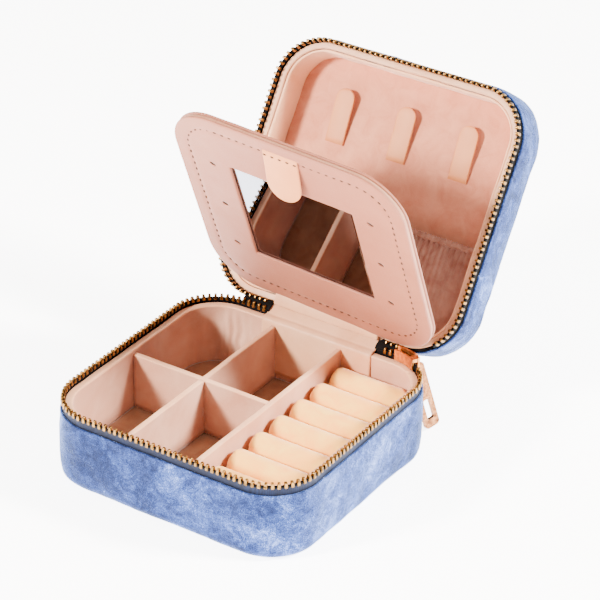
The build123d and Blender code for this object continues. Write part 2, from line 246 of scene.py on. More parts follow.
def velour(name, light, dark, pile=3.2, sheen=0.6):
    """Short soft pile with brushed patches."""
    m = Nodes(name, Roughness=0.88, Sheen_Weight=sheen, Sheen_Roughness=0.4)
    m.shader.inputs["Specular IOR Level"].default_value = 0.18
    cloud = m.noise(0.14, 4, 0.6, 0.8)
    fibre = m.noise(pile, 2, 0.6)
    m.paint(m.ramp(m.sum(cloud, fibre, 0.3), [(0.42, dark), (0.82, light)]))
    m.bump(fibre, 0.06, 0.6)
    m.bump(cloud, 0.25, 0.3)
    return m.material


def metal(name, light, dark, rough=0.3, worn=0.7):
    """Plated metal, darker where the finish has aged."""
    m = Nodes(name, Roughness=rough, Metallic=1.0)
    cloud = m.noise(0.7, 4, 0.6, 0.5)
    m.paint(m.ramp(cloud, [(0.32, dark), (worn, light)]))
    m.rough(m.ramp(m.noise(1.4, 3), [(0.3, rough - 0.08), (0.75, rough + 0.14)]))
    m.bump(m.noise(3.0, 3), 0.02, 0.4)
    return m.material


def woven(name, light, dark, per_mm=2.6, sheen=0.1):
    """Close weave, as in zip tape."""
    m = Nodes(name, Roughness=0.85, Sheen_Weight=sheen)
    m.shader.inputs["Specular IOR Level"].default_value = 0.15
    waves = []
    for axis in ("X", "Y", "Z"):
        node = m.add("ShaderNodeTexWave", bands_direction=axis)
        node.inputs["Scale"].default_value = per_mm / MM / 3.14
        node.inputs["Distortion"].default_value = 0.6
        m.link(m.place, node.inputs["Vector"])
        waves.append(node.outputs["Fac"])
    weave = m.sum(m.sum(waves[0], waves[1], 1.0), waves[2], 1.0)
    shade = m.add("ShaderNodeMapRange")
    shade.inputs["From Max"].default_value = 3.0
    m.link(weave, shade.inputs["Value"])
    tone = m.ramp(shade.outputs["Result"], [(0.2, dark), (0.8, light)])
    m.paint(m.blend(tone, dark, m.noise(0.5, 3), "MULTIPLY"))
    m.bump(shade.outputs["Result"], 0.05, 0.6)
    return m.material


def plain(name, colour, rough=0.8, per_mm=1.5, amount=0.12):
    """Card, foam, thread, or the slits' painted shade: one colour, slightly uneven."""
    m = Nodes(name, Roughness=rough)
    m.paint(m.blend(colour, "#2A2420", m.ramp(m.noise(per_mm, 4), [(0.35, 0.0), (0.9, amount)])))
    m.bump(m.noise(per_mm * 2, 3), 0.05, 0.5)
    return m.material


def looking_glass():
    """Silvered glass, with the faint haze of a hand-wiped mirror."""
    m = Nodes("mirror_glass", Roughness=0.02, Metallic=1.0)
    m.paint(m.ramp(m.noise(0.03, 2), [(0.3, "#9CA0AA"), (0.7, "#AEB2BC")]))
    m.rough(m.ramp(m.noise(0.05, 4, 0.6, 0.8), [(0.45, 0.015), (0.8, 0.06)]))
    return m.material


MAT = {
    "blue_velvet": velvet(),
    # near-black cloth for the velvet's turned-in rim: painted shade where it meets the tape
    "velvet_rim_shade": woven("velvet_rim_shade", "#101A38", "#060A1C"),
    "grey_board": plain("grey_board", "#8C8880"),
    "zip_tape": woven("zip_tape", "#14264E", "#080F26"),
    # near-black copy of the tape, for its cord, inner face, the lid's tape and the zip's ends: painted shade
    "tape_painted_shade": woven("tape_painted_shade", "#0D0807", "#050304", 2.6, 0.0),
    "antique_brass": metal("antique_brass", "#A87C42", "#1C0F06", 0.34, 0.66),
    "copper_gilt": metal("copper_gilt", "#E8A25E", "#B0662E", 0.34, 0.7),
    "gold_gilt": metal("gold_gilt", "#FFC868", "#C88A38", 0.25),
    "rose_gilt": metal("rose_gilt", "#B27A50", "#5C341C", 0.3),
    "pink_leatherette": leatherette("pink_leatherette", "#DFAC87", "#CE926C"),
    # a darker copy of the lining's leatherette, for the walls and the dividers' sides: painted shade
    "wall_leatherette_shaded": leatherette("wall_leatherette_shaded", "#CFA086", "#BB8267", 0.2, 0.6),
    # a lighter copy of the lining's leatherette, for the lid's frame: painted light
    "frame_leatherette_lit": leatherette("frame_leatherette_lit", "#F2BC94", "#E2A276", 0.2, 0.6),
    # a darker copy of the panel's velour, for the base's floor: painted shade
    "pink_velour": velour("pink_velour", "#8B6448", "#794F36", 2.6, 0.35),
    "panel_velour": velour("panel_velour", "#D28F71", "#C1795D", 2.6, 0.3),
    "foam": plain("foam", "#D9BBA6", 0.9, 2.5, 0.3),
    "peach_velour": velour("peach_velour", "#F7C05F", "#F7A44B", 3.4, 0.5),
    # the pocket's own browner cloth, made darker as painted shade
    "pocket_fabric": velour("pocket_fabric", "#A67B68", "#875B4A", 4.0, 0.25),
    "peach_leatherette": leatherette("peach_leatherette", "#CF8550", "#C57644", 0.1, 0.5, 1.0, 0.02),
    "flap_leatherette": leatherette("flap_leatherette", "#975941", "#8E5139", 0.1, 0.52, 1.2, 0.02),
    "flap_edge": leatherette("flap_edge", "#B07F62", "#996045", 0.1, 0.6),
    "mirror_glass": looking_glass(),
    "thread": plain("thread", "#3A1E12", 0.85, 3.0, 0.2),
    # near-black, only for the plug in the flap's slits: painted shade
    "slit_shade_black": plain("slit_shade_black", "#070302", 0.95, 3.0, 0.3),
}


# ---- mesh helpers: everything is drawn in millimetres, then placed ------------------------------
def linked(name, data):
    """New object in the scene."""
    item = bpy.data.objects.new(name, data)
    bpy.context.scene.collection.objects.link(item)
    return item


def placed(points, place):
    """Points in millimetres moved to where they belong, in metres."""
    matrix = np.array(place)
    return np.asarray(points, float) * MM @ matrix[:3, :3].T + matrix[:3, 3]


def second_material(item, name, polygons):
    """A second material on some of a piece's faces."""
    item.data.materials.append(MAT[name])
    for polygon in polygons:
        polygon.material_index = 1


def piece(name, points, faces, place, body, slot, material=None, smooth=True, node=None):
    """Mesh object from points in millimetres, placed and riding on a body."""
    points = placed(points, place)
    if np.linalg.det(np.array(place)[:3, :3]) < 0:
        faces = [f[::-1] for f in faces]
    mesh = bpy.data.meshes.new(name)
    mesh.from_pydata([tuple(p) for p in points], [], [tuple(f) for f in faces])
    mesh.validate()
    mesh.polygons.foreach_set("use_smooth", [smooth] * len(mesh.polygons))
    item = linked(name, mesh)
    mesh.materials.append(MAT[material or slot])
    if body:
        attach(item, body)
    for one in ([node] if isinstance(node, str) else node or []):
        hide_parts(one)
    return item


def grid_faces(rows, columns, round_rows=False, round_columns=False):
    """Quads of a grid of points, row after row."""
    faces = []
    for i in range(rows if round_rows else rows - 1):
        for j in range(columns if round_columns else columns - 1):
            a, b = i * columns + j, i * columns + (j + 1) % columns
            c, d = ((i + 1) % rows) * columns + (j + 1) % columns, ((i + 1) % rows) * columns + j
            faces.append((a, b, c, d))
    return faces


class Outline:
    """The case's rounded rectangle, walked anticlockwise seen from above, from the middle of the back."""

    def __init__(self, width, depth, radius, step=1.0, centre=(0, 0)):
        x, y, r = width / 2 - radius, depth / 2 - radius, radius
        self.points, self.normals = [], []
        corner = max(8, int(r * math.pi / 2 / step))
        sides = [((0, y + r), (-x, y + r)), ((-x - r, y), (-x - r, -y)), ((-x, -y - r), (x, -y - r)),
                 ((x + r, -y), (x + r, y)), ((x, y + r), (0, y + r))]
        centres = [(-x, y, 90), (-x, -y, 180), (x, -y, 270), (x, y, 0)]
        for index, (start, end) in enumerate(sides):
            count = max(2, int(math.dist(start, end) / step))
            turn = math.radians((90, 180, 270, 0, 90)[index])
            for k in range(count):
                t = k / count
                self.points.append((start[0] + (end[0] - start[0]) * t, start[1] + (end[1] - start[1]) * t))
                self.normals.append((math.cos(turn), math.sin(turn)))
            if index < 4:
                cx, cy, first = centres[index]
                for k in range(corner):
                    turn_k = math.radians(first + 90 * k / corner)
                    normal = (math.cos(turn_k), math.sin(turn_k))
                    self.points.append((cx + r * normal[0], cy + r * normal[1]))
                    self.normals.append(normal)
        self.points = np.array(self.points) + np.array(centre)
        self.normals = np.array(self.normals)
        steps = np.linalg.norm(np.roll(self.points, -1, 0) - self.points, axis=1)
        self.length = steps.sum()
        self.along = np.concatenate([[0], np.cumsum(steps)[:-1]])
        self.radius = radius

    def ring(self, inset, z):
        """Points `inset` inside the outline; insets past the corner radius close towards the middle."""
        straight = min(inset, self.radius - 0.3)
        flat = self.points - self.normals * straight
        if inset > straight:
            share = (inset - straight) / (self.points.max(0).min() - straight)
            middle = self.points.mean(0)
            flat = flat + (middle - flat) * min(share, 1)
        return np.column_stack([flat, np.full(len(flat), 0.0) + z])

    def at(self, s):
        """Point, heading and normal at a distance along the outline."""
        s = s % self.length
        ends = np.append(self.along, self.length)
        closed = np.vstack([self.points, self.points[:1]])
        turn = np.vstack([self.normals, self.normals[:1]])
        p = np.array([np.interp(s, ends, closed[:, k]) for k in range(2)])
        n = np.array([np.interp(s, ends, turn[:, k]) for k in range(2)])
        n /= np.linalg.norm(n)
        return p, np.array([-n[1], n[0]]), n


CASE = Outline(WIDTH, DEPTH, CORNER)


def bump(points, size, height, seed=0.0, stretch=(1, 1, 1)):
    """Smooth noise at each point, from -height to height."""
    out = np.empty(len(points))
    for i, p in enumerate(points):
        place = Vector((p[0] * stretch[0], p[1] * stretch[1], p[2] * stretch[2])) / size
        out[i] = noise.noise(place + Vector((seed, seed * 1.7, -seed)))
    return out * height * 1.6


def push(points, faces, amount):
    """Move each point along its normal by its own amount."""
    points = np.array(points, float)
    normals = np.zeros_like(points)
    for face in faces:
        a, b, c = points[face[0]], points[face[1]], points[face[2]]
        n = np.cross(b - a, c - a)
        for index in face:
            normals[index] += n
    size = np.linalg.norm(normals, axis=1, keepdims=True)
    return points + normals / np.maximum(size, 1e-9) * np.asarray(amount)[:, None]


def arc(cx, cz, radius, start, end, count):
    """Points of an arc in a profile, (inset, z)."""
    turns = np.radians(np.linspace(start, end, count))
    return [(cx + radius * math.cos(t), cz + radius * math.sin(t)) for t in turns]


def swept(outline, profile, closed=False):
    """Profile of (inset, z) carried round an outline."""
    rings = [outline.ring(inset, z) for inset, z in profile]
    points = np.vstack(rings)
    faces = grid_faces(len(profile), len(outline.points), closed, True)
    return points, faces


def modifier(item, kind, **settings):
    made = item.modifiers.new(kind.title(), kind)
    for key, value in settings.items():
        setattr(made, key, value)
    return made


def loft(stations, corner=4):
    """Closed strap from stations: (centre, across, up, half width, half thickness)."""
    points, size = [], 4 * corner
    for centre, across, up, half, thick in stations:
        centre, across, up = (np.array(v, float) for v in (centre, across, up))
        r = min(thick, half) * 0.95
        for cx, cz, first in ((half - r, thick - r, 0), (r - half, thick - r, 90),
                              (r - half, r - thick, 180), (half - r, r - thick, 270)):
            for k in range(corner):
                turn = math.radians(first + 90 * k / (corner - 1))
                points.append(centre + across * (cx + r * math.cos(turn)) + up * (cz + r * math.sin(turn)))
    faces = grid_faces(len(stations), size, False, True)
    faces += [tuple(range(size))[::-1], tuple(range((len(stations) - 1) * size, len(stations) * size))]
    return np.array(points), faces


def fixed_normals(item):
    """Face every side of a closed piece outwards."""
    work = bmesh.new()
    work.from_mesh(item.data)
    bmesh.ops.recalc_face_normals(work, faces=work.faces)
    work.to_mesh(item.data)
    work.free()
    return item


def soften(item, levels=1):
    modifier(item, "SUBSURF", levels=levels, render_levels=levels)
    return item


def rounded_edges(node, width_mm, *materials):
    """A CAD node that keeps its shape, with its edges broken and its materials set."""
    item = frame["nodes"][node]
    modifier(item, "BEVEL", width=width_mm * MM, segments=3, limit_method="ANGLE",
             angle_limit=math.radians(35))
    item.data.materials.clear()
    for name in materials:
        item.data.materials.append(MAT[name])
    for polygon in item.data.polygons:
        polygon.use_smooth = True
    modifier(item, "WEIGHTED_NORMAL")
    return item


# ---- velvet covers, zip tapes and teeth ---------------------------------------------------------
def velvet_cover(name, node, low, place, body, seed):
    """Velvet stretched over the card tray, turned in at the seam."""
    top = SEAM - EDGE_GAP
    profile = [(COVER, z) for z in np.linspace(top - 4.5, top - 0.5, 4)]
    profile += arc(COVER / 2, top - COVER / 2, COVER / 2, 0, 180, 6)
    wall = np.linspace(top - 0.9, low + EDGE_RADIUS, 22)
    middle, half = wall.mean(), (wall[0] - wall[-1]) / 2
    profile += [(-0.28 * (1 - ((z - middle) / half) ** 2), z) for z in wall]
    profile += arc(EDGE_RADIUS, low + EDGE_RADIUS, EDGE_RADIUS, 184, 266, 9)
    profile += [(inset, low) for inset in np.arange(5, 42, 1.5)]
    points, faces = swept(CASE, profile)
    points, faces = list(points), [f[::-1] for f in faces]
    faces.append(tuple(range(len(points) - len(CASE.points), len(points)))[::-1])
    points = np.array(points)
    rest = np.clip((top - points[:, 2]) / 5, 0, 1)
    amount = (bump(points, 17, 0.32, seed) + bump(points, 5.5, 0.14, seed + 3)) * rest
    amount += bump(points, 2.4, 0.05, seed + 5)
    amount *= np.clip(np.hypot(points[:, 0], points[:, 1]) / 14 - 0.2, 0, 1)
    if low == 0:
        amount *= np.clip(points[:, 2] / 2, 0, 1)
    points = push(points, faces, amount)
    item = piece(name, points, faces, place, body, "blue_velvet", node=node)
    # The turned-in rim gets the near-black cloth: painted shade along the velvet's edge.
    second_material(item, "velvet_rim_shade", item.data.polygons[:5 * len(CASE.points)])
    return item


class Part:
    """Stretch of an outline between two distances."""

    def __init__(self, outline, start, end, step=1.0):
        count = max(3, int((end - start) / step) + 1)
        found = [outline.at(s) for s in np.linspace(start, end, count)]
        self.points = np.array([f[0] for f in found])
        self.normals = np.array([f[2] for f in found])

    def swept(self, profile):
        rings = [np.column_stack([self.points - self.normals * inset, np.full(len(self.points), 0.0) + z])
                 for inset, z in profile]
        count = len(self.points)
        faces = grid_faces(len(profile), count, True, False)
        faces += [tuple(k * count for k in range(len(profile)))[::-1],
                  tuple(k * count + count - 1 for k in range(len(profile)))]
        return np.vstack(rings), faces


def zip_tape(name, node, place, body, outside, relief=0.0):
    """Tape with the corded edge that the teeth clamp; the cord and the inner face are near-black, painted
    shade behind and between the teeth.
    """
    part = Part(CASE, -STRIP_LEFT + 0.2, CASE.length - STRIP_RIGHT - 0.2)
    mid, bead = TAPE_INSET + 0.2, SEAM - 1.2
    profile = [(mid + 0.2, 22.2), (mid + 0.2, 25), (mid + 0.2, bead - 0.6)]
    profile += arc(mid, bead, 0.55, -40, 220, 9)
    profile += [(mid - 0.2, bead - 0.6), (mid - 0.2, 25), (mid - 0.2, 22.2)]
    points, faces = part.swept(profile)
    points[:, 0] += bump(points, 9, 0.1, 4)
    points[:, 1] += bump(points, 9, 0.1, 9)
    turn = np.degrees(np.arctan2(points[:, 0] - CORNER_X, points[:, 1] - CORNER_Y))
    at_slider = (points[:, 1] > CORNER_Y) & (turn > -2) & (turn < relief)
    points[at_slider, 2] = np.minimum(points[at_slider, 2], SEAM - 2.95)
    item = piece(name, points, faces, place, body, "zip_tape", "tape_painted_shade", node=node)
    ring = len(part.points) - 1
    second_material(item, outside, item.data.polygons[11 * ring:14 * ring])
    return fixed_normals(item)


CHAIN = Outline(WIDTH - 2 * CHAIN_INSET, DEPTH - 2 * CHAIN_INSET, CORNER - CHAIN_INSET, 0.5)
CORNER_X, CORNER_Y = WIDTH / 2 - CORNER, DEPTH / 2 - CORNER


def covered(point):
    """True where the slider sits on the chain."""
    if point[1] < CORNER_Y or point[0] < CORNER_X - 0.6:
        return False
    turn = math.degrees(math.atan2(point[0] - CORNER_X, point[1] - CORNER_Y))
    return turn < SLIDER_ANGLE + SLIDER_HALF + 6.5


def zip_teeth(name, node, phase, place, body):
    """Row of metal teeth: two legs clamped on the cord, a waist, and a head with a nub."""
    heights = [(-1.66, 1.4, 1.0), (-1.5, 1.6, 1.15), (-0.8, 1.6, 1.15), (-0.5, 1.45, 0.98),
               (0.0, 1.35, 0.92), (0.3, 1.25, 0.86), (0.45, 1.05, 0.72), (0.5, 0.65, 0.42)]
    start = -STRIP_LEFT + 0.9
    total = CHAIN.length - start - STRIP_RIGHT - 0.9
    points, faces = [], []
    for index in range(int(total / PITCH)):
        spot, along, out = CHAIN.at(start + (index + phase) * PITCH)
        if covered(spot):
            continue
        first = len(points)
        lean = 0.06 * math.sin(index * 2.4)
        for z, across, length in heights:
            for cx, cy, turn0 in ((1, 1, 0), (-1, 1, 90), (-1, -1, 180), (1, -1, 270)):
                for k in range(3):
                    turn = math.radians(turn0 + 45 * k)
                    r = 0.18 * min(across, length)
                    x = cx * (across / 2 - r) + r * math.cos(turn)
                    y = cy * (length / 2 - r) + r * math.sin(turn) + lean * z
                    flat = spot + out * x + along * y
                    points.append((flat[0], flat[1], SEAM + z))
        faces += [tuple(first + i for i in f) for f in grid_faces(len(heights), 12, False, True)]
        faces += [tuple(range(first + 11, first - 1, -1)), tuple(range(len(points) - 12, len(points)))]
    return fixed_normals(piece(name, points, faces, place, body, "antique_brass", node=node))


# ---- linings ------------------------------------------------------------------------------------
def corner_share(points):
    """1 in the middle of the case's round corners, 0 on its straight sides."""
    x = np.clip((np.abs(points[:, 0]) - CORNER_X) / (CORNER * 0.7), 0, 1)
    y = np.clip((np.abs(points[:, 1]) - CORNER_Y) / (CORNER * 0.7), 0, 1)
    return np.clip(2 * np.minimum(x, y), 0, 1)


def lip_profile(inner, low, radius=0.55):
    """Rolled lip from its outer foot over the top to the inner face."""
    top = SEAM - LIP_GAP
    profile = [(LIP_INSET + 0.5, top - 2.6), (LIP_INSET + 0.05, top - 1.9)]
    profile += arc(LIP_INSET + radius, top - radius, radius, 180, 95, 6)
    profile += arc(inner - radius, top - radius, radius, 85, 0, 6)
    return profile + [(inner, z) for z in np.linspace(top - radius - 0.8, low, 18)]


CREASES = (31.0, 5.5, 3.3)  # slack in the back wall: how far left, half width, and width of one crease


def lining(name, node, inner, low, place, body, seed, creases):
    """Leatherette wall with a rolled lip, creased where it turns the corners."""
    profile = lip_profile(inner, low)
    points, faces = swept(CASE, profile)
    corner = corner_share(points)
    depth = np.clip((SEAM - LIP_GAP - 1 - points[:, 2]) / 6, 0, 1)
    fan = bump(points, 4.6, creases, seed, (1, 1, 0.22)) * corner * depth
    soft = bump(points, 12, 0.22, seed + 2) * np.clip(depth + 0.3, 0, 1)
    lip = bump(points, 5, 0.07, seed + 4) * (1 - depth)
    spot = (points[:, 0] + CREASES[0]) / CREASES[1]
    slack = np.exp(-spot ** 2) * (points[:, 1] > 0) * np.clip(depth * 1.6, 0, 1)
    wave = np.sin(points[:, 0] * 2 * math.pi / CREASES[2] + bump(points, 7, 2.2, seed + 6))
    points = push(points, faces, fan + soft + lip + wave * slack * creases * 0.75)
    item = piece(name, points, faces, place, body, "pink_leatherette", node=node)
    # Below the lip the walls take the darker copy of the leatherette: painted shade.
    second_material(item, "wall_leatherette_shaded", item.data.polygons[13 * len(CASE.points):])
    return item


def away_from_walls(x, y):
    """Distance in plan to the nearest divider or to the lining."""
    sides = [abs(x - RING_X) - DIVIDER / 2, CORNER_X + CORNER - WALL_INSET - abs(x),
             CORNER_Y + CORNER - WALL_INSET - abs(y)]
    if x < RING_X:
        sides += [abs(x - LONG_X) - DIVIDER / 2, abs(y - CROSS_Y) - DIVIDER / 2]
    cx, cy = abs(x) - CORNER_X, abs(y) - CORNER_Y
    if cx > 0 and cy > 0:
        sides.append(CORNER - WALL_INSET - math.hypot(cx, cy))
    return max(0.0, min(sides))


def pad(name, node, inset, level, place, body, slot, material, dome, seed, walls):
    """Padded sheet that fills the space inside the lining, lower along its edges."""
    insets = list(np.arange(inset, 42, 1.0))
    points, faces = swept(CASE, [(k, level) for k in insets])
    faces.append(tuple(range(len(points) - len(CASE.points), len(points))))
    for p in points:
        edge = away_from_walls(p[0], p[1]) if walls else max(0, min(
            CORNER_X + CORNER - inset - abs(p[0]), CORNER_Y + CORNER - inset - abs(p[1])))
        p[2] += dome * (1 - math.exp(-edge / 2.2))
    points[:, 2] += bump(points, 9, 0.18, seed) + bump(points, 3, 0.05, seed + 1)
    item = piece(name, points, faces, place, body, slot, material, node=node)
    modifier(item, "SOLIDIFY", thickness=1.2 * MM, offset=-1)
    return item


# ---- dividers -----------------------------------------------------------------------------------
def divider(name, node, start, end, seed, notch=None, low_notch=False):
    """Card wall wrapped in leatherette, with a round top edge; halved where it crosses another."""
    start, end = np.array(start, float), np.array(end, float)
    length = np.linalg.norm(end - start)
    along = (end - start) / length
    side = np.array([-along[1], along[0]])
    places = list(np.linspace(0, length, int(length / 1.2)))
    cuts = []
    if notch is not None:
        cuts = [notch - DIVIDER / 2 - 0.05, notch + DIVIDER / 2 + 0.05]
        places = [s for s in places if not cuts[0] - 0.4 < s < cuts[1] + 0.4]
        places = sorted(places + [cuts[0] - 0.02, cuts[0], cuts[1], cuts[1] + 0.02])
    middle = (FLOOR + DIVIDER_TOP) / 2
    half, edge = DIVIDER / 2, 0.38
    points, rows = [], 0
    for s in places:
        inside = bool(cuts) and cuts[0] <= s <= cuts[1]
        low = middle if inside and low_notch else FLOOR + 0.05
        high = middle if inside and not low_notch else DIVIDER_TOP
        levels = np.linspace(low, high - edge, 12)
        section = [(half, z) for z in levels]
        section += arc(half - edge, high - edge, edge, 15, 90, 5)
        section += arc(edge - half, high - edge, edge, 90, 165, 5)
        section += [(-half, z) for z in levels[::-1]]
        points += [(*(start + along * s + side * k), z) for k, z in section]
        rows, columns = rows + 1, len(section)
    points = np.array(points)
    faces = grid_faces(rows, columns, False, True)
    faces += [tuple(range(columns)), tuple(range((rows - 1) * columns, rows * columns))[::-1]]
    wave = bump(points, 8, 0.08, seed) + bump(points, 2.5, 0.02, seed + 1)
    points[:, 0] += wave * side[0]
    points[:, 1] += wave * side[1]
    points[:, 2] += bump(points, 14, 0.1, seed + 6) * (points[:, 2] > middle + 1)
    item = fixed_normals(piece(name, points, faces, BASE, "base", "pink_leatherette", node=node))
    # Below the round top the sides take the darker copy of the leatherette: painted shade.
    wall_top = (DIVIDER_TOP - 0.5) * MM
    second_material(item, "wall_leatherette_shaded", [f for f in item.data.polygons if f.center.z <= wall_top])
    return item


# ---- ring rolls, plumped by cloth simulation ----------------------------------------------------
UPSCALE = 40.0              # cloth is simulated large, because the solver is made for garments


def apply_stack(item):
    """Put the result of the modifiers into the mesh."""
    shown = item.evaluated_get(bpy.context.evaluated_depsgraph_get())
    mesh = bpy.data.meshes.new_from_object(shown)
    item.modifiers.clear()
    item.data = mesh
    return item


def plumped(node, name, body, slot, voxel=0.9, shrink=0.35, cap=0.55):
    """Copy of a CAD node's mesh, remeshed and swelled by cloth pressure."""
    mesh = frame["nodes"][node].data.copy()
    mesh.transform(Matrix.Scale(UPSCALE, 4))
    item = linked(name, mesh)
    modifier(item, "REMESH", mode="VOXEL", voxel_size=voxel * MM * UPSCALE)
    modifier(item, "SMOOTH", factor=0.5, iterations=6)
    apply_stack(item)
    start = np.array([v.co[:] for v in item.data.vertices])
    normals = np.array([v.normal[:] for v in item.data.vertices])
    start = start - normals * shrink * MM * UPSCALE
    item.data.vertices.foreach_set("co", start.astype(np.float32).ravel())
    cloth = modifier(item, "CLOTH")
    cloth.settings.use_pressure = True
    cloth.settings.uniform_pressure_force = 4.0
    cloth.settings.effector_weights.gravity = 0.0
    cloth.settings.quality = 4
    cloth.point_cache.frame_start, cloth.point_cache.frame_end = 1, 20
    for number in range(1, 21):
        bpy.context.scene.frame_set(number)
    apply_stack(item)
    bpy.context.scene.frame_set(1)
    end = np.array([v.co[:] for v in item.data.vertices])
    move = end - start
    size = np.linalg.norm(move, axis=1, keepdims=True)
    limit = cap * MM * UPSCALE
    end = start + move * np.minimum(1, limit / np.maximum(size, 1e-9))
    item.data.vertices.foreach_set("co", (end / UPSCALE).astype(np.float32).ravel())
    item.data.materials.clear()
    item.data.materials.append(MAT[slot])
    for polygon in item.data.polygons:
        polygon.use_smooth = True
    soften(item)
    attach(item, body)
    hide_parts(node)
    return item


# ---- build the base -----------------------------------------------------------------------------
def build_base():
    velvet_cover("base_velvet", "base_cover", 0.0, BASE, "base", 1.0)
    zip_tape("base_zip_tape", "base_tape", BASE, "base", "zip_tape")
    zip_teeth("base_zip_teeth", "base_teeth", 0.25, BASE, "base")
    lining("base_lining", "base_liner", WALL_INSET, FLOOR - 0.6, BASE, "base", 2.0, 0.75)
    # The floor pad takes the darker velour: painted shade.
    pad("base_pad", "base_floor", WALL_INSET + 0.05, FLOOR - 0.1, BASE, "base", "pink_velour", "pink_velour",
        0.7, 3.0, True)
    y = DEPTH / 2 - WALL_INSET - 0.1
    x = WIDTH / 2 - WALL_INSET - 0.1
    divider("divider_long_wrapped", "divider_long", (LONG_X, -y), (LONG_X, y), 5.0, CROSS_Y + y)
    divider("divider_cross_wrapped", "divider_cross", (-x, CROSS_Y), (RING_X - DIVIDER / 2 - 0.05, CROSS_Y),
            6.0, LONG_X + x, True)
    divider("ring_wall_wrapped", "ring_wall", (RING_X, -y), (RING_X, y), 7.0)
    for number in range(1, 8):
        plumped(f"ring_roll_{number}", f"velour_roll_{number}", "base", "peach_velour")
    rounded_edges("base_board", 0.1, "grey_board")
    rounded_edges("ring_bed", 0.3, "foam")


# ---- build the lid ------------------------------------------------------------------------------
def hook_strap(number):
    """Leatherette strap, sewn to the panel at its square end, that leans off it."""
    x = (number - 2) * HOOK_PITCH
    level = SEAM - PANEL_DEPTH + 0.65
    lean = math.radians(HOOK_LEAN)
    stations = []
    half = HOOK_W / 2
    round_end = [HOOK_L - half * (1 - math.sin(t)) for t in np.linspace(0.2, 1.5, 8)]
    for s in list(np.linspace(0, HOOK_L - half, 9)) + round_end:
        over = max(0.0, s - (HOOK_L - half))
        width = math.sqrt(max(half * half - over * over, 0.05))
        turn = lean * (0.85 + 0.15 * s / HOOK_L)
        centre = (x, HOOK_Y - s * math.cos(turn), level + s * math.sin(turn))
        up = (0, math.sin(turn), math.cos(turn))
        stations.append((centre, (1, 0, 0), up, width, 0.42 if width > 1 else 0.3))
    points, faces = loft(stations)
    return fixed_normals(piece(f"hook_{number}_strap", points, faces, LID, f"hook_{number}",
                               "peach_leatherette", node=f"hook_strap_{number}"))


def pocket_half_width(y):
    """Half of the pocket's width, following the frame's round corner."""
    side = WIDTH / 2 - FRAME_INSET - FRAME_THICK - 0.2
    radius = CORNER - FRAME_INSET - FRAME_THICK - 0.2
    over = y - CORNER_Y
    if over <= 0:
        return side
    return CORNER_X + math.sqrt(max(radius * radius - over * over, 4.0))


GATHER = 2.1                # width of one gather at the pocket's mouth
POCKET_LEVEL = SEAM - 10.1


def gather_phase(x, y):
    """Where a point lies in its gather; the gathers wander a little."""
    return x * 2 * math.pi / GATHER + 2.2 * noise.noise(Vector((x * 0.12, y * 0.03, 3)))


def pocket():
    """Pocket gathered on its elastic: tight pleats at the mouth that die out towards the foot."""
    foot = DEPTH / 2 - FRAME_INSET - FRAME_THICK - 0.4
    rows, columns = 34, 260
    points = []
    for i in range(rows):
        t = i / (rows - 1)
        y = POCKET_Y + (foot - POCKET_Y) * min(1, t * 1.08)
        drop = max(0.0, t * 1.08 - 1) / 0.08
        half = pocket_half_width(y)
        for j in range(columns):
            u = j / (columns - 1) * 2 - 1
            x = half * u
            phase = gather_phase(x, y)
            fade = math.exp(-t * 2.6)
            slack = 0.55 * noise.noise(Vector((x * 0.3, y * 0.07, 8)))
            height = 0.6 * fade * math.sin(phase) + slack * (1 - fade)
            puff = 1.1 * math.sin(math.pi * min(t, 1)) ** 0.8 * (1 - u ** 8)
            edge = 1 - abs(u) ** 24
            level = POCKET_LEVEL + (puff + height) * edge - 4.6 * drop - 1.0 * (1 - edge)
            points.append((x, y + 0.25 * math.cos(phase) * fade, level))
    faces = grid_faces(rows, columns)
    # The pocket cloth is darkened: partly its own tone, partly painted shade.
    item = piece("pocket_gathered", points, faces, LID, "lid", "pocket_fabric", node="pocket_pouch")
    modifier(item, "SOLIDIFY", thickness=0.45 * MM, offset=-1)
    hem_points = []
    ring = 12
    for j in range(columns):
        x = pocket_half_width(POCKET_Y) * (j / (columns - 1) * 2 - 1)
        phase = gather_phase(x, POCKET_Y)
        fat = 1.0 + 0.16 * math.sin(phase * 2)
        for k in range(ring):
            turn = 2 * math.pi * k / ring
            hem_points.append((x, POCKET_Y - 0.5 + fat * 1.15 * math.cos(turn) + 0.12 * math.cos(phase),
                               POCKET_LEVEL + 0.22 * math.sin(phase) + fat * 0.6 * math.sin(turn)))
    hem_faces = grid_faces(columns, ring, False, True)
    hem_faces += [tuple(range(ring)), tuple(range((columns - 1) * ring, columns * ring))]
    hem = fixed_normals(piece("pocket_hem", hem_points, hem_faces, LID, "lid", "pocket_fabric",
                              node="pocket_elastic"))
    return item


def lid_frame():
    """Leatherette-wrapped frame inside the lid's lip."""
    top = SEAM - LIP_GAP - 0.75
    low = SEAM - PANEL_DEPTH
    outer, inner = FRAME_INSET, FRAME_INSET + FRAME_THICK
    profile = [(outer, low), (outer, top - 0.6)]
    profile += arc((outer + inner) / 2, top - 0.45, FRAME_THICK / 2, 180, 0, 7)
    profile += [(inner, z) for z in np.linspace(top - 1.2, low, 10)]
    points, faces = swept(CASE, profile)
    points = push(points, faces, bump(points, 11, 0.15, 12) + bump(points, 3.5, 0.05, 14))
    # The frame wears the lighter copy of the leatherette: painted light.
    item = piece("lid_frame_wrapped", points, faces, LID, "lid", "pink_leatherette", "frame_leatherette_lit",
                 node="lid_frame")
    return item


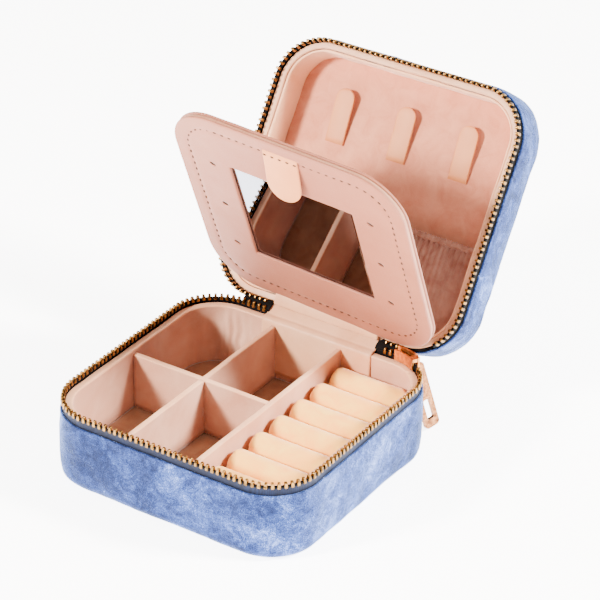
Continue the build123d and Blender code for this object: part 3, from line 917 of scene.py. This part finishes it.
def build_lid():
    low = SEAM - LID_THICK
    velvet_cover("lid_velvet", "lid_cover", low, LID, "lid", 21.0)
    # The lid's tape is near-black on its outer face too: painted shade.
    zip_tape("lid_zip_tape", "lid_tape", LID, "lid", "tape_painted_shade", RELIEF_END)
    zip_teeth("lid_zip_teeth", "lid_teeth", 0.75, LID, "lid")
    lining("lid_lining", "lid_liner", FRAME_INSET - 0.2, SEAM - LIP_GAP - 6, LID, "lid", 25.0, 0.2)
    lid_frame()
    pad("lid_panel_pad", "lid_panel", FRAME_INSET + 0.2, SEAM - PANEL_DEPTH - 0.25, LID, "lid", "pink_velour",
        "panel_velour", 0.45, 27.0, False)
    for number in (1, 2, 3):
        hook_strap(number)
    pocket()
    rounded_edges("lid_board", 0.1, "grey_board")


# ---- build the flap -----------------------------------------------------------------------------
# Drawn with x across from the flap's middle, y up from the fold, and z out of the mirror side.
FLAP_PLACE = Matrix.Translation((FLAP_X * MM, FLAP_Y * MM, FLAP_Z * MM))
FLAP = FLAP_TURN @ FLAP_PLACE @ Matrix.Rotation(math.pi, 4, "X")
FLAP_MIDDLE = (FLAP_L + FLAP_TAIL) / 2 - FLAP_TAIL
FACE = FLAP_CORE / 2 + FLAP_SHEET
STITCH_INSET, STITCH_PITCH, STITCH_LENGTH = 5.6, 3.0, 1.4


class Rounded:
    """Rounded rectangle with a set number of points on each side and corner, so that two of them match."""

    def __init__(self, width, length, radius, centre, side=56, corner=14):
        self.shape = (width, length, radius, centre, side, corner)
        x, y = width / 2 - radius, length / 2 - radius
        self.points = []
        corners = [(x, y), (-x, y), (-x, -y), (x, -y)]
        for index, (cx, cy) in enumerate(corners):
            for k in range(corner):
                turn = math.radians(90 * index + 90 * k / (corner - 1))
                normal = (math.cos(turn), math.sin(turn))
                self.points.append((cx + radius * normal[0], cy + radius * normal[1]))
            nx, ny = corners[(index + 1) % 4]
            turn = math.radians(90 * index + 90)
            normal = (math.cos(turn), math.sin(turn))
            for k in range(1, side):
                t = k / side
                self.points.append((cx + (nx - cx) * t + radius * normal[0],
                                    cy + (ny - cy) * t + radius * normal[1]))
        self.points = np.array(self.points) + np.array(centre)

    def ring(self, inset):
        """The same outline that far inside; a tight corner stays a corner."""
        width, length, radius, *rest = self.shape
        return Rounded(width - 2 * inset, length - 2 * inset, max(radius - inset, 0.05), *rest).points

    def stack(self, levels):
        """Rings of the outline, one for each inset and height."""
        return [np.column_stack([self.ring(inset), np.full(len(self.points), z)]) for inset, z in levels]


def stitch_dip(points, outline):
    """How deep the thread pulls the sheet in, near the stitch line."""
    line = outline.ring(STITCH_INSET)
    dip = np.empty(len(points))
    for i, p in enumerate(points):
        gap = np.sqrt(((line - p[:2]) ** 2).sum(1).min())
        dip[i] = math.exp(-(gap / 0.75) ** 2)
    return dip


SLIT_SLANT = 20.0
SLITS = [(-0.2 + side * 32.0, row) for side in (-1, 1) for row in (23.6, 44.2, 65.0)]


def slit_tubes(half_length, half_width, depth):
    """Points and faces of six slanted plugs through the flap."""
    points, faces = [], []
    a = math.radians(-SLIT_SLANT)
    for x, y in SLITS:
        first = len(points)
        for z in (-depth, depth):
            for k in range(12):
                turn = 2 * math.pi * k / 12
                u, v = half_length * math.cos(turn), half_width * math.sin(turn)
                points.append((x + u * math.cos(a) - v * math.sin(a),
                               y + u * math.sin(a) + v * math.cos(a), z))
        for k in range(12):
            after = (k + 1) % 12
            faces.append((first + k, first + after, first + 12 + after, first + 12 + k))
        faces += [tuple(range(first + 11, first - 1, -1)), tuple(range(first + 12, first + 24))]
    return points, faces


def slit_cutter():
    """Tool that cuts the six slits."""
    points, faces = slit_tubes(1.3, 0.72, 4.0)
    mesh = bpy.data.meshes.new("slit_cutter")
    mesh.from_pydata([tuple(p) for p in placed(points, FLAP)], [], faces)
    return fixed_normals(linked("slit_cutter", mesh))


def slit(item, cutter):
    """Cut the slits through a piece."""
    modifier(item, "BOOLEAN", operation="DIFFERENCE", solver="EXACT", object=cutter)
    return apply_stack(item)


def slit_painted_shade():
    """Near-black plug just under each face of the six slits: painted shade for their depth."""
    points, faces = slit_tubes(1.4, 0.8, FACE - 0.22)
    piece("slit_painted_shade", points, faces, FLAP, "flap", "foam", "slit_shade_black", smooth=False)


def flap_sheet(name, node, sign, window, seed, cutter):
    """Leatherette sheet of the flap, sewn down round its edge."""
    outline = Rounded(FLAP_W, FLAP_L + FLAP_TAIL, FLAP_R, (0, FLAP_MIDDLE))
    hole = Rounded(MIRROR_W, MIRROR_L, 0.5, (0, MIRROR_START + MIRROR_L / 2))
    turned = ((0.12, -FLAP_SHEET), (0, -0.5), (0.08, -0.2), (0.35, 0.0), (0.8, 0.05))
    rings = outline.stack([(inset, FACE + drop) for inset, drop in turned])
    spread = np.linspace(0, 1, 30)[1:]
    edge = outline.ring(0.8)
    target = hole.ring(-0.5) if window else np.tile([[0, FLAP_MIDDLE]], (len(edge), 1)) + (
        hole.points - hole.points.mean(0)) * 0.05
    for t in spread:
        rings.append(np.column_stack([edge + (target - edge) * t, np.full(len(edge), FACE + 0.05)]))
    if window:
        turned = ((-0.2, -0.02), (0.0, -0.2), (0.02, -0.5), (0.0, -FLAP_SHEET))
        rings += hole.stack([(inset, FACE + drop) for inset, drop in turned])
    points = np.vstack(rings)
    count = len(edge)
    faces = grid_faces(len(rings), count, window, True)
    if not window:
        faces.append(tuple(range(len(points) - count, len(points))))
        faces.append(tuple(range(count))[::-1])
    face = points[:, 2] > FACE - 0.1
    relief = bump(points, 14, 0.1, seed) + bump(points, 4, 0.04, seed + 2)
    relief = relief - 0.32 * stitch_dip(points, outline)
    points[face, 2] += relief[face]
    points[:, 2] *= sign
    if sign < 0:
        faces = [f[::-1] for f in faces]
    item = fixed_normals(piece(name, points, faces, FLAP, "flap", "flap_leatherette", node=node))
    slit(item, cutter)
    return item


def flap_edge(cutter):
    """Board between the two sheets, with a painted edge and a well for the mirror."""
    outline = Rounded(FLAP_W, FLAP_L + FLAP_TAIL, FLAP_R, (0, FLAP_MIDDLE))
    well = Rounded(MIRROR_W + 3.8, MIRROR_L + 3.8, 0.5, (0, MIRROR_START + MIRROR_L / 2))
    half = FLAP_CORE / 2 - 0.02
    rings = outline.stack([(0.75, half), (0.55, half - 0.2), (0.45, 0), (0.55, 0.2 - half), (0.75, -half)])
    for z in (-half, half):
        rings.append(np.column_stack([well.points, np.full(len(outline.points), z)]))
    points = np.vstack(rings)
    faces = grid_faces(len(rings), len(outline.points), True, True)
    item = piece("flap_board_edge", points, faces, FLAP, "flap", "flap_edge", node="flap_board")
    fixed_normals(item)
    slit(item, cutter)
    return item


def mirror():
    """Glass with a ground bevel that shows just inside the window."""
    centre = (0, MIRROR_START + MIRROR_L / 2)
    glass = Rounded(MIRROR_W + 3.4, MIRROR_L + 3.4, 0.6, centre)
    half = FLAP_CORE / 2 - 0.03
    levels = [(0.3, -half + 0.1), (0, -half + 0.3), (0, half - 0.5), (0.15, half - 0.42), (2.85, half - 0.02),
              (2.95, half), (5.0, half)]
    points = np.vstack(glass.stack(levels))
    count = len(glass.points)
    faces = grid_faces(len(levels), count, False, True)
    faces += [tuple(range(count))[::-1], tuple(range(len(points) - count, len(points)))]
    item = fixed_normals(piece("mirror_bevelled", points, faces, FLAP, "flap", "mirror_glass", smooth=False,
                               node="mirror"))
    return item


def walk(points, step):
    """Places a step apart round a closed line, each with its heading."""
    closed = np.vstack([points, points[:1]])
    along = np.concatenate([[0], np.cumsum(np.linalg.norm(np.diff(closed, axis=0), axis=1))])
    count = round(along[-1] / step)
    found = []
    for index in range(count):
        s = along[-1] * index / count
        here, there = (np.array([np.interp(k, along, closed[:, j]) for j in range(2)]) for k in (s, s + 0.3))
        found.append((here, (there - here) / max(np.linalg.norm(there - here), 1e-9)))
    return found


def stitches():
    """Thread round the flap, over the tab's root as well."""
    outline = Rounded(FLAP_W, FLAP_L + FLAP_TAIL, FLAP_R, (0, FLAP_MIDDLE))
    points, faces = [], []
    for spot, along in walk(outline.ring(STITCH_INSET), STITCH_PITCH):
        on_tab = abs(spot[0]) < TAB_W / 2 and spot[1] > FLAP_MIDDLE
        level = FACE + (0.78 if on_tab else -0.16)
        across = np.array([-along[1], along[0]])
        first = len(points)
        for t in np.linspace(-1, 1, 7):
            swell = math.sqrt(max(1 - t * t, 0.02))
            centre = spot + along * t * STITCH_LENGTH / 2
            for k in range(8):
                turn = 2 * math.pi * k / 8
                flat = centre + across * 0.34 * swell * math.cos(turn)
                points.append((*flat, level + 0.2 * swell * math.sin(turn) + 0.1 * (swell - 0.5)))
        faces += [tuple(first + i for i in f) for f in grid_faces(7, 8, False, True)]
        faces += [tuple(range(first + 7, first - 1, -1)), tuple(range(len(points) - 8, len(points)))]
    return fixed_normals(piece("flap_thread", points, faces, FLAP, "flap", "thread", node="flap_stitching"))


def closing_tab():
    """Tab sewn to the flap near its free edge; its round end hangs a little off the mirror side."""
    lean = math.radians(TAB_LEAN)
    half = TAB_W / 2
    thick = 0.42
    path = [(84.5, -0.1, 0.12), (84.2, 0.12, 0.2), (83.4, 0.3, 0.34), (82.6, 0.4, thick)]
    stations = [((0, y, FACE + z), (1, 0, 0), (0, 0, 1), half, t) for y, z, t in path]
    round_end = [TAB_L - half * (1 - math.sin(t)) for t in np.linspace(0.15, 1.52, 10)]
    for s in list(np.linspace(0.6, TAB_L - half, 8)) + round_end:
        turn = lean * (0.7 + 0.3 * s / TAB_L)
        over = max(0.0, s - (TAB_L - half))
        width = math.sqrt(max(half * half - over * over, 0.1))
        centre = (0, TAB_FOLD - s * math.cos(turn), FACE + 0.42 + s * math.sin(turn))
        up = (0, math.sin(turn), math.cos(turn))
        stations.append((centre, (1, 0, 0), up, width, thick if width > 2 else 0.3))
    points, faces = loft(stations, 5)
    item = piece("closing_tab", points, faces, FLAP, None, "peach_leatherette",
                 node=["tab_root", "closure_tab"])
    fixed_normals(item)
    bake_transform(item)
    return item


def build_flap():
    cutter = slit_cutter()
    flap_sheet("flap_front_sheet", "flap_front", 1, True, 31.0, cutter)
    flap_sheet("flap_back_sheet", "flap_back", -1, False, 33.0, cutter)
    flap_edge(cutter)
    bpy.data.objects.remove(cutter)
    slit_painted_shade()
    mirror()
    stitches()
    closing_tab()


# ---- hinge strips -------------------------------------------------------------------------------
def spline(points, count):
    """Smooth line through points (Catmull-Rom)."""
    p = np.array([points[0]] + list(points) + [points[-1]], float)
    out = []
    for k in np.linspace(0, len(points) - 1.0001, count):
        i = int(k)
        t = k - i
        a, b, c, d = p[i:i + 4]
        out.append(0.5 * (2 * b + (c - a) * t + (2 * a - 5 * b + 4 * c - d) * t * t
                          + (3 * b - a - 3 * c + d) * t ** 3))
    return np.array(out)


def on_lid(y, z):
    """Where a point drawn in the shut lid's tray comes to rest, in millimetres."""
    moved = LID @ (Vector((0, y, z)) * MM)
    return moved.y / MM, moved.z / MM


def hinge_cloth(name, nodes, base_side, lid_side, slot, material, thick, seed,
                ends=(STRIP_LEFT, STRIP_RIGHT)):
    """Cloth across the hinge: from the base's wall to the lid's, drawn bent to meet the open lid."""
    line = spline(base_side + [on_lid(*p) for p in lid_side], 46)
    columns = 60
    points = []
    for y, z in line:
        for j in range(columns):
            points.append((ends[0] + (ends[1] - ends[0]) * j / (columns - 1), y, z))
    points = np.array(points)
    faces = grid_faces(len(line), columns)
    points = push(points, faces, bump(points, 7, 0.14, seed, (0.5, 1, 1)) + bump(points, 2.5, 0.04, seed + 1))
    item = piece(name, points, faces, BASE, None, slot, material, node=nodes)
    modifier(item, "SOLIDIFY", thickness=thick * MM, offset=0)
    y, z = on_lid(HINGE_Y + 0.2, SEAM - 2.2)
    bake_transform(item)
    return item


def fold_cloth():
    """Strip that joins the flap's fold to the hinge strip."""
    lid_y, lid_z = on_lid(HINGE_Y - 1.2, SEAM - 0.6)
    columns, rows = 60, 14
    points = []
    for i in range(rows):
        t = i / (rows - 1)
        for j in range(columns):
            x = STRIP_LEFT + 1 + (STRIP_RIGHT - STRIP_LEFT - 2) * j / (columns - 1)
            edge = FLAP @ (Vector((x - FLAP_X, 1.6, -0.2)) * MM)
            start = np.array((x, lid_y, lid_z))
            end = np.array(edge[:]) / MM
            sag = np.array((0, -0.35, 0.1)) * math.sin(math.pi * t)
            points.append(start + (end - start) * t + sag)
    item = piece("flap_fold_cloth", points, grid_faces(rows, columns), BASE, None, "pink_leatherette",
                 node="flap_strip")
    modifier(item, "SOLIDIFY", thickness=0.5 * MM, offset=0)
    start = (0, lid_y * MM, lid_z * MM)
    end = (FLAP @ (Vector((0, 0.5, 0)) * MM))[:]
    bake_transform(item)
    return item


def build_hinge():
    top = SEAM - LIP_GAP
    hinge_cloth("hinge_lining", ["hinge_inner_base", "hinge_inner_lid"],
                [(43.4, 7.0), (43.5, 15.0), (43.55, top - 1.4), (44.6, top + 0.35), (46.4, top + 0.55),
                 (47.5, top + 1.1)],
                [(47.2, top + 0.9), (46.0, top + 0.5), (44.8, top + 0.2), (44.0, top - 1.2),
                 (43.9, top - 5.0)],
                "pink_leatherette", "pink_leatherette", 0.5, 41.0)
    edge = SEAM - EDGE_GAP
    hinge_cloth("hinge_velvet", ["hinge_outer_base", "hinge_outer_lid"],
                [(48.0, edge - 3.5), (48.35, edge - 0.5), (48.65, edge + 1.5), (48.9, edge + 3.2)],
                [(48.95, edge + 3.2), (48.65, edge + 1.5), (48.35, edge - 0.5), (48.0, edge - 3.5)],
                "blue_velvet", "blue_velvet", 0.6, 45.0)
    # The zip's ends take the near-black tape: painted shade.
    for name, ends in (("zip_end_left", (STRIP_LEFT - 11, STRIP_LEFT + 0.5)),
                       ("zip_end_right", (STRIP_RIGHT - 0.5, STRIP_RIGHT + 10.5))):
        hinge_cloth(name, [], [(46.9, 24.0), (47.1, 26.5), (47.3, 28.4), (47.75, 29.3)],
                    [(47.75, 29.3), (47.3, 28.4), (47.1, 26.5), (46.9, 24.0)],
                    "zip_tape", "tape_painted_shade", 0.45, 48.0, ends)
    fold_cloth()


# ---- zip slider and pull ------------------------------------------------------------------------
def build_zip_end():
    rounded_edges("slider_body", 0.22, "copper_gilt")
    rounded_edges("slider_crown", 0.22, "gold_gilt")
    rounded_edges("pull_tab", 0.25, "rose_gilt")


# ---- studio -------------------------------------------------------------------------------------
EYE = (462.01, -684.82, 546.78)
LOOK_AT = (13.735, 13.104, 61.091)
ROLL = 1.1595
LENS = 173.41


def camera():
    data = bpy.data.cameras.new("camera")
    data.lens = LENS
    data.sensor_width = 36.0
    data.clip_start, data.clip_end = 0.01, 20.0
    item = linked("camera", data)
    back = (Vector(EYE) - Vector(LOOK_AT)).normalized()
    right = Vector((0, 0, 1)).cross(back).normalized()
    up = back.cross(right)
    c, s = math.cos(math.radians(ROLL)), math.sin(math.radians(ROLL))
    axes = Matrix((right * c + up * s, up * c - right * s, back)).transposed()
    item.matrix_world = Matrix.Translation(Vector(EYE) * MM) @ axes.to_4x4()
    bpy.context.scene.camera = item


def area_light(name, place, target, size, power, colour="#FFFFFF"):
    data = bpy.data.lights.new(name, "AREA")
    data.shape = "RECTANGLE"
    data.size, data.size_y = size
    data.energy = power
    data.color = srgb(colour)[:3]
    item = linked(name, data)
    item.location = place
    item.rotation_mode = "QUATERNION"
    item.rotation_quaternion = (Vector(place) - Vector(target)).to_track_quat("Z", "Y")


FRONT_LIGHT = (-0.42, -0.78, 0.46)     # directions towards the two crisp lights
BACK_LIGHT = (0.78, 0.30, 0.55)
FLOOR_GLOW = 6.5
LIGHT_DISTANCE = 1.3
FLOOR_SIZE = 3.0
FLOOR_DROP = 0.0003                    # the floor lies a hair below the case


def studio():
    world = bpy.data.worlds.new("studio")
    world.use_nodes = True
    world.node_tree.nodes["Background"].inputs["Color"].default_value = (1.0, 1.0, 1.0, 1)
    world.node_tree.nodes["Background"].inputs["Strength"].default_value = 0.3
    bpy.context.scene.world = world
    middle = Vector((0, 0.01, 0.05))
    area_light("front_key", middle + Vector(FRONT_LIGHT) * LIGHT_DISTANCE, middle, (0.2, 0.2), 60, "#FFF6EC")
    area_light("back_key", middle + Vector(BACK_LIGHT) * LIGHT_DISTANCE, middle, (0.24, 0.24), 80, "#FFFAF2")
    area_light("top_fill", (0.0, 0.0, 1.3), middle, (0.9, 0.9), 9)
    mesh = bpy.data.meshes.new("floor")
    work = bmesh.new()
    bmesh.ops.create_grid(work, x_segments=8, y_segments=8, size=FLOOR_SIZE)
    work.to_mesh(mesh)
    work.free()
    floor = linked("floor", mesh)
    floor.location = (0, 0, -FLOOR_DROP)
    white = Nodes("floor_white", Roughness=0.9)
    white.paint(white.ramp(white.noise(0.01, 2), [(0.3, "#FBFBFB"), (0.7, "#FFFFFF")]))
    white.shader.inputs["Emission Color"].default_value = (1, 1, 1, 1)
    white.shader.inputs["Emission Strength"].default_value = FLOOR_GLOW
    mesh.materials.append(white.material)


build_base()
build_lid()
build_flap()
build_hinge()
build_zip_end()
camera()
studio()
